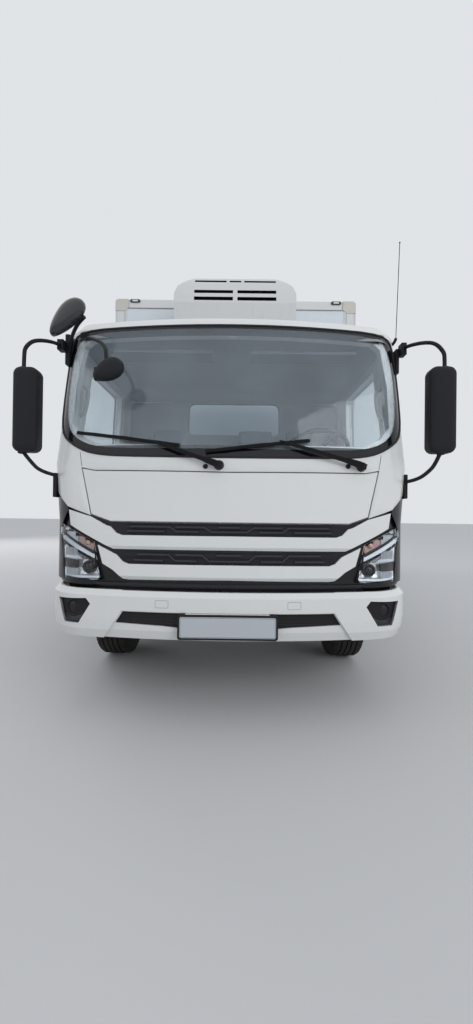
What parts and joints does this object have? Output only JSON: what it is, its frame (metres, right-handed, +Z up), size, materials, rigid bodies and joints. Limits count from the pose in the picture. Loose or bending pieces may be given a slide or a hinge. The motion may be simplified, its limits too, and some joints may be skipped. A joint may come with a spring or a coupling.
{
  "type": "refrigerated truck",
  "caption": "Two-axle refrigerated truck with a tilting cab-over cab, an insulated load box with twin rear doors and a cooling unit on the box front.",
  "frame": {"origin": "on the ground at the middle of the truck's ground plan", "axes": "+X to the truck's left, +Y to the rear, +Z up; the truck faces -Y"},
  "size_m": [2.58, 7.364, 3.4539],
  "materials": {
    "white_paint": "gloss",
    "box_skin": "satin",
    "box_metal": "galvanised",
    "floor_board": "resin coated board",
    "unit_plastic": "satin",
    "black_plastic": "grained",
    "frame_paint": "satin",
    "engine_iron": "rough",
    "tank_metal": "satin",
    "window_glass": "clear",
    "lamp_glass": "clear",
    "plate_white": "matte",
    "cab_trim": "grained",
    "seat_fabric": "woven",
    "rim_paint": "satin",
    "tyre_rubber": "moulded"
  },
  "bodies": {
    "chassis": {"frame_rails": "frame_paint", "crossmembers": "frame_paint", "frame_brackets": "frame_paint", "front_axle_beam": "frame_paint", "rear_axle": "frame_paint", "leaf_springs": "frame_paint", "engine_block": "engine_iron", "propeller_shaft": "frame_paint", "fuel_tank": "tank_metal", "battery_box": "black_plastic", "exhaust_silencer": "tank_metal", "cab_steps": "black_plastic", "mudguards": "black_plastic", "guard_rails": "box_metal", "body_lamps": "lamp_glass", "body_bearers": "frame_paint", "box_floor": "floor_board", "box_side_walls": "box_skin", "box_front_wall": "box_skin", "box_roof": "box_skin", "box_rear_frame": "box_metal", "cooling_unit": "unit_plastic", "front_bumper": "white_paint", "bumper_inserts": "black_plastic", "number_plate": "plate_white"},
    "cab": {"cab_front_panel": "white_paint", "cab_side_frames": "white_paint", "cab_roof": "white_paint", "cab_back_wall": "white_paint", "cab_glazing": "window_glass", "grille": "black_plastic", "grille_strips": "white_paint", "headlamps": "lamp_glass", "cab_floor": "cab_trim", "dashboard": "cab_trim", "steering_wheel": "cab_trim", "seats": "seat_fabric", "mirrors": "black_plastic", "wipers": "black_plastic", "antenna": "black_plastic"},
    "front_lid": {"front_lid": "white_paint"},
    "door_left": {"door_left": "white_paint", "door_glass_left": "window_glass"},
    "door_right": {"door_right": "white_paint", "door_glass_right": "window_glass"},
    "knuckle_left": {"knuckle_left": "frame_paint"},
    "knuckle_right": {"knuckle_right": "frame_paint"},
    "tie_rod": {"tie_rod": "frame_paint"},
    "wheel_front_left": {"wheel_front_left": "rim_paint", "tyre_front_left": "tyre_rubber"},
    "wheel_front_right": {"wheel_front_right": "rim_paint", "tyre_front_right": "tyre_rubber"},
    "wheels_rear_left": {"wheel_rear_left": "rim_paint", "tyres_rear_left": "tyre_rubber"},
    "wheels_rear_right": {"wheel_rear_right": "rim_paint", "tyres_rear_right": "tyre_rubber"},
    "box_door_left": {"box_door_left": "box_skin", "lock_bars_left": "box_metal"},
    "box_door_right": {"box_door_right": "box_skin", "lock_bars_right": "box_metal"}
  },
  "joints": [
    {"name": "cab_tilt", "type": "hinge", "parent": "chassis", "child": "cab", "pos_m": [0, -3.468, 0.83], "axis": [1, 0, 0], "range_deg": [0, 45]},
    {"name": "front_lid_hinge", "type": "hinge", "parent": "cab", "child": "front_lid", "pos_m": [0, -3.538, 1.56], "axis": [-1, 0, 0], "range_deg": [0, 70]},
    {"name": "door_left_hinge", "type": "hinge", "parent": "cab", "child": "door_left", "pos_m": [1.11, -3.21, 1.3], "axis": [0, 0, -1], "range_deg": [0, 68]},
    {"name": "door_right_hinge", "type": "hinge", "parent": "cab", "child": "door_right", "pos_m": [-1.11, -3.21, 1.3], "axis": [0, 0, 1], "range_deg": [0, 68]},
    {"name": "steer_left", "type": "hinge", "parent": "chassis", "child": "knuckle_left", "pos_m": [0.79, -2.518, 0.398], "axis": [0, 0, 1], "range_deg": [-35, 35]},
    {"name": "steer_right", "type": "hinge", "parent": "chassis", "child": "knuckle_right", "pos_m": [-0.79, -2.518, 0.398], "axis": [0, 0, 1], "range_deg": [-35, 35]},
    {"name": "tie_rod_joint", "type": "hinge", "parent": "knuckle_left", "child": "tie_rod", "pos_m": [0.745, -2.348, 0.28], "axis": [0, 0, 1], "range_deg": [-37, 37]},
    {"name": "roll_front_left", "type": "hinge", "parent": "knuckle_left", "child": "wheel_front_left", "pos_m": [0.9, -2.518, 0.398], "axis": [1, 0, 0], "continuous": true},
    {"name": "roll_front_right", "type": "hinge", "parent": "knuckle_right", "child": "wheel_front_right", "pos_m": [-0.9, -2.518, 0.398], "axis": [1, 0, 0], "continuous": true},
    {"name": "roll_rear_left", "type": "hinge", "parent": "chassis", "child": "wheels_rear_left", "pos_m": [0.825, 1.957, 0.398], "axis": [1, 0, 0], "continuous": true},
    {"name": "roll_rear_right", "type": "hinge", "parent": "chassis", "child": "wheels_rear_right", "pos_m": [-0.825, 1.957, 0.398], "axis": [1, 0, 0], "continuous": true},
    {"name": "box_door_left_hinge", "type": "hinge", "parent": "chassis", "child": "box_door_left", "pos_m": [1.28, 3.65, 2.2], "axis": [0, 0, -1], "range_deg": [0, 245]},
    {"name": "box_door_right_hinge", "type": "hinge", "parent": "chassis", "child": "box_door_right", "pos_m": [-1.28, 3.65, 2.2], "axis": [0, 0, 1], "range_deg": [0, 245]}
  ],
  "couplings": [
    {"joint": "steer_right", "follows": "steer_left", "ratio": 1},
    {"joint": "tie_rod_joint", "follows": "steer_left", "ratio": -1.056}
  ]
}
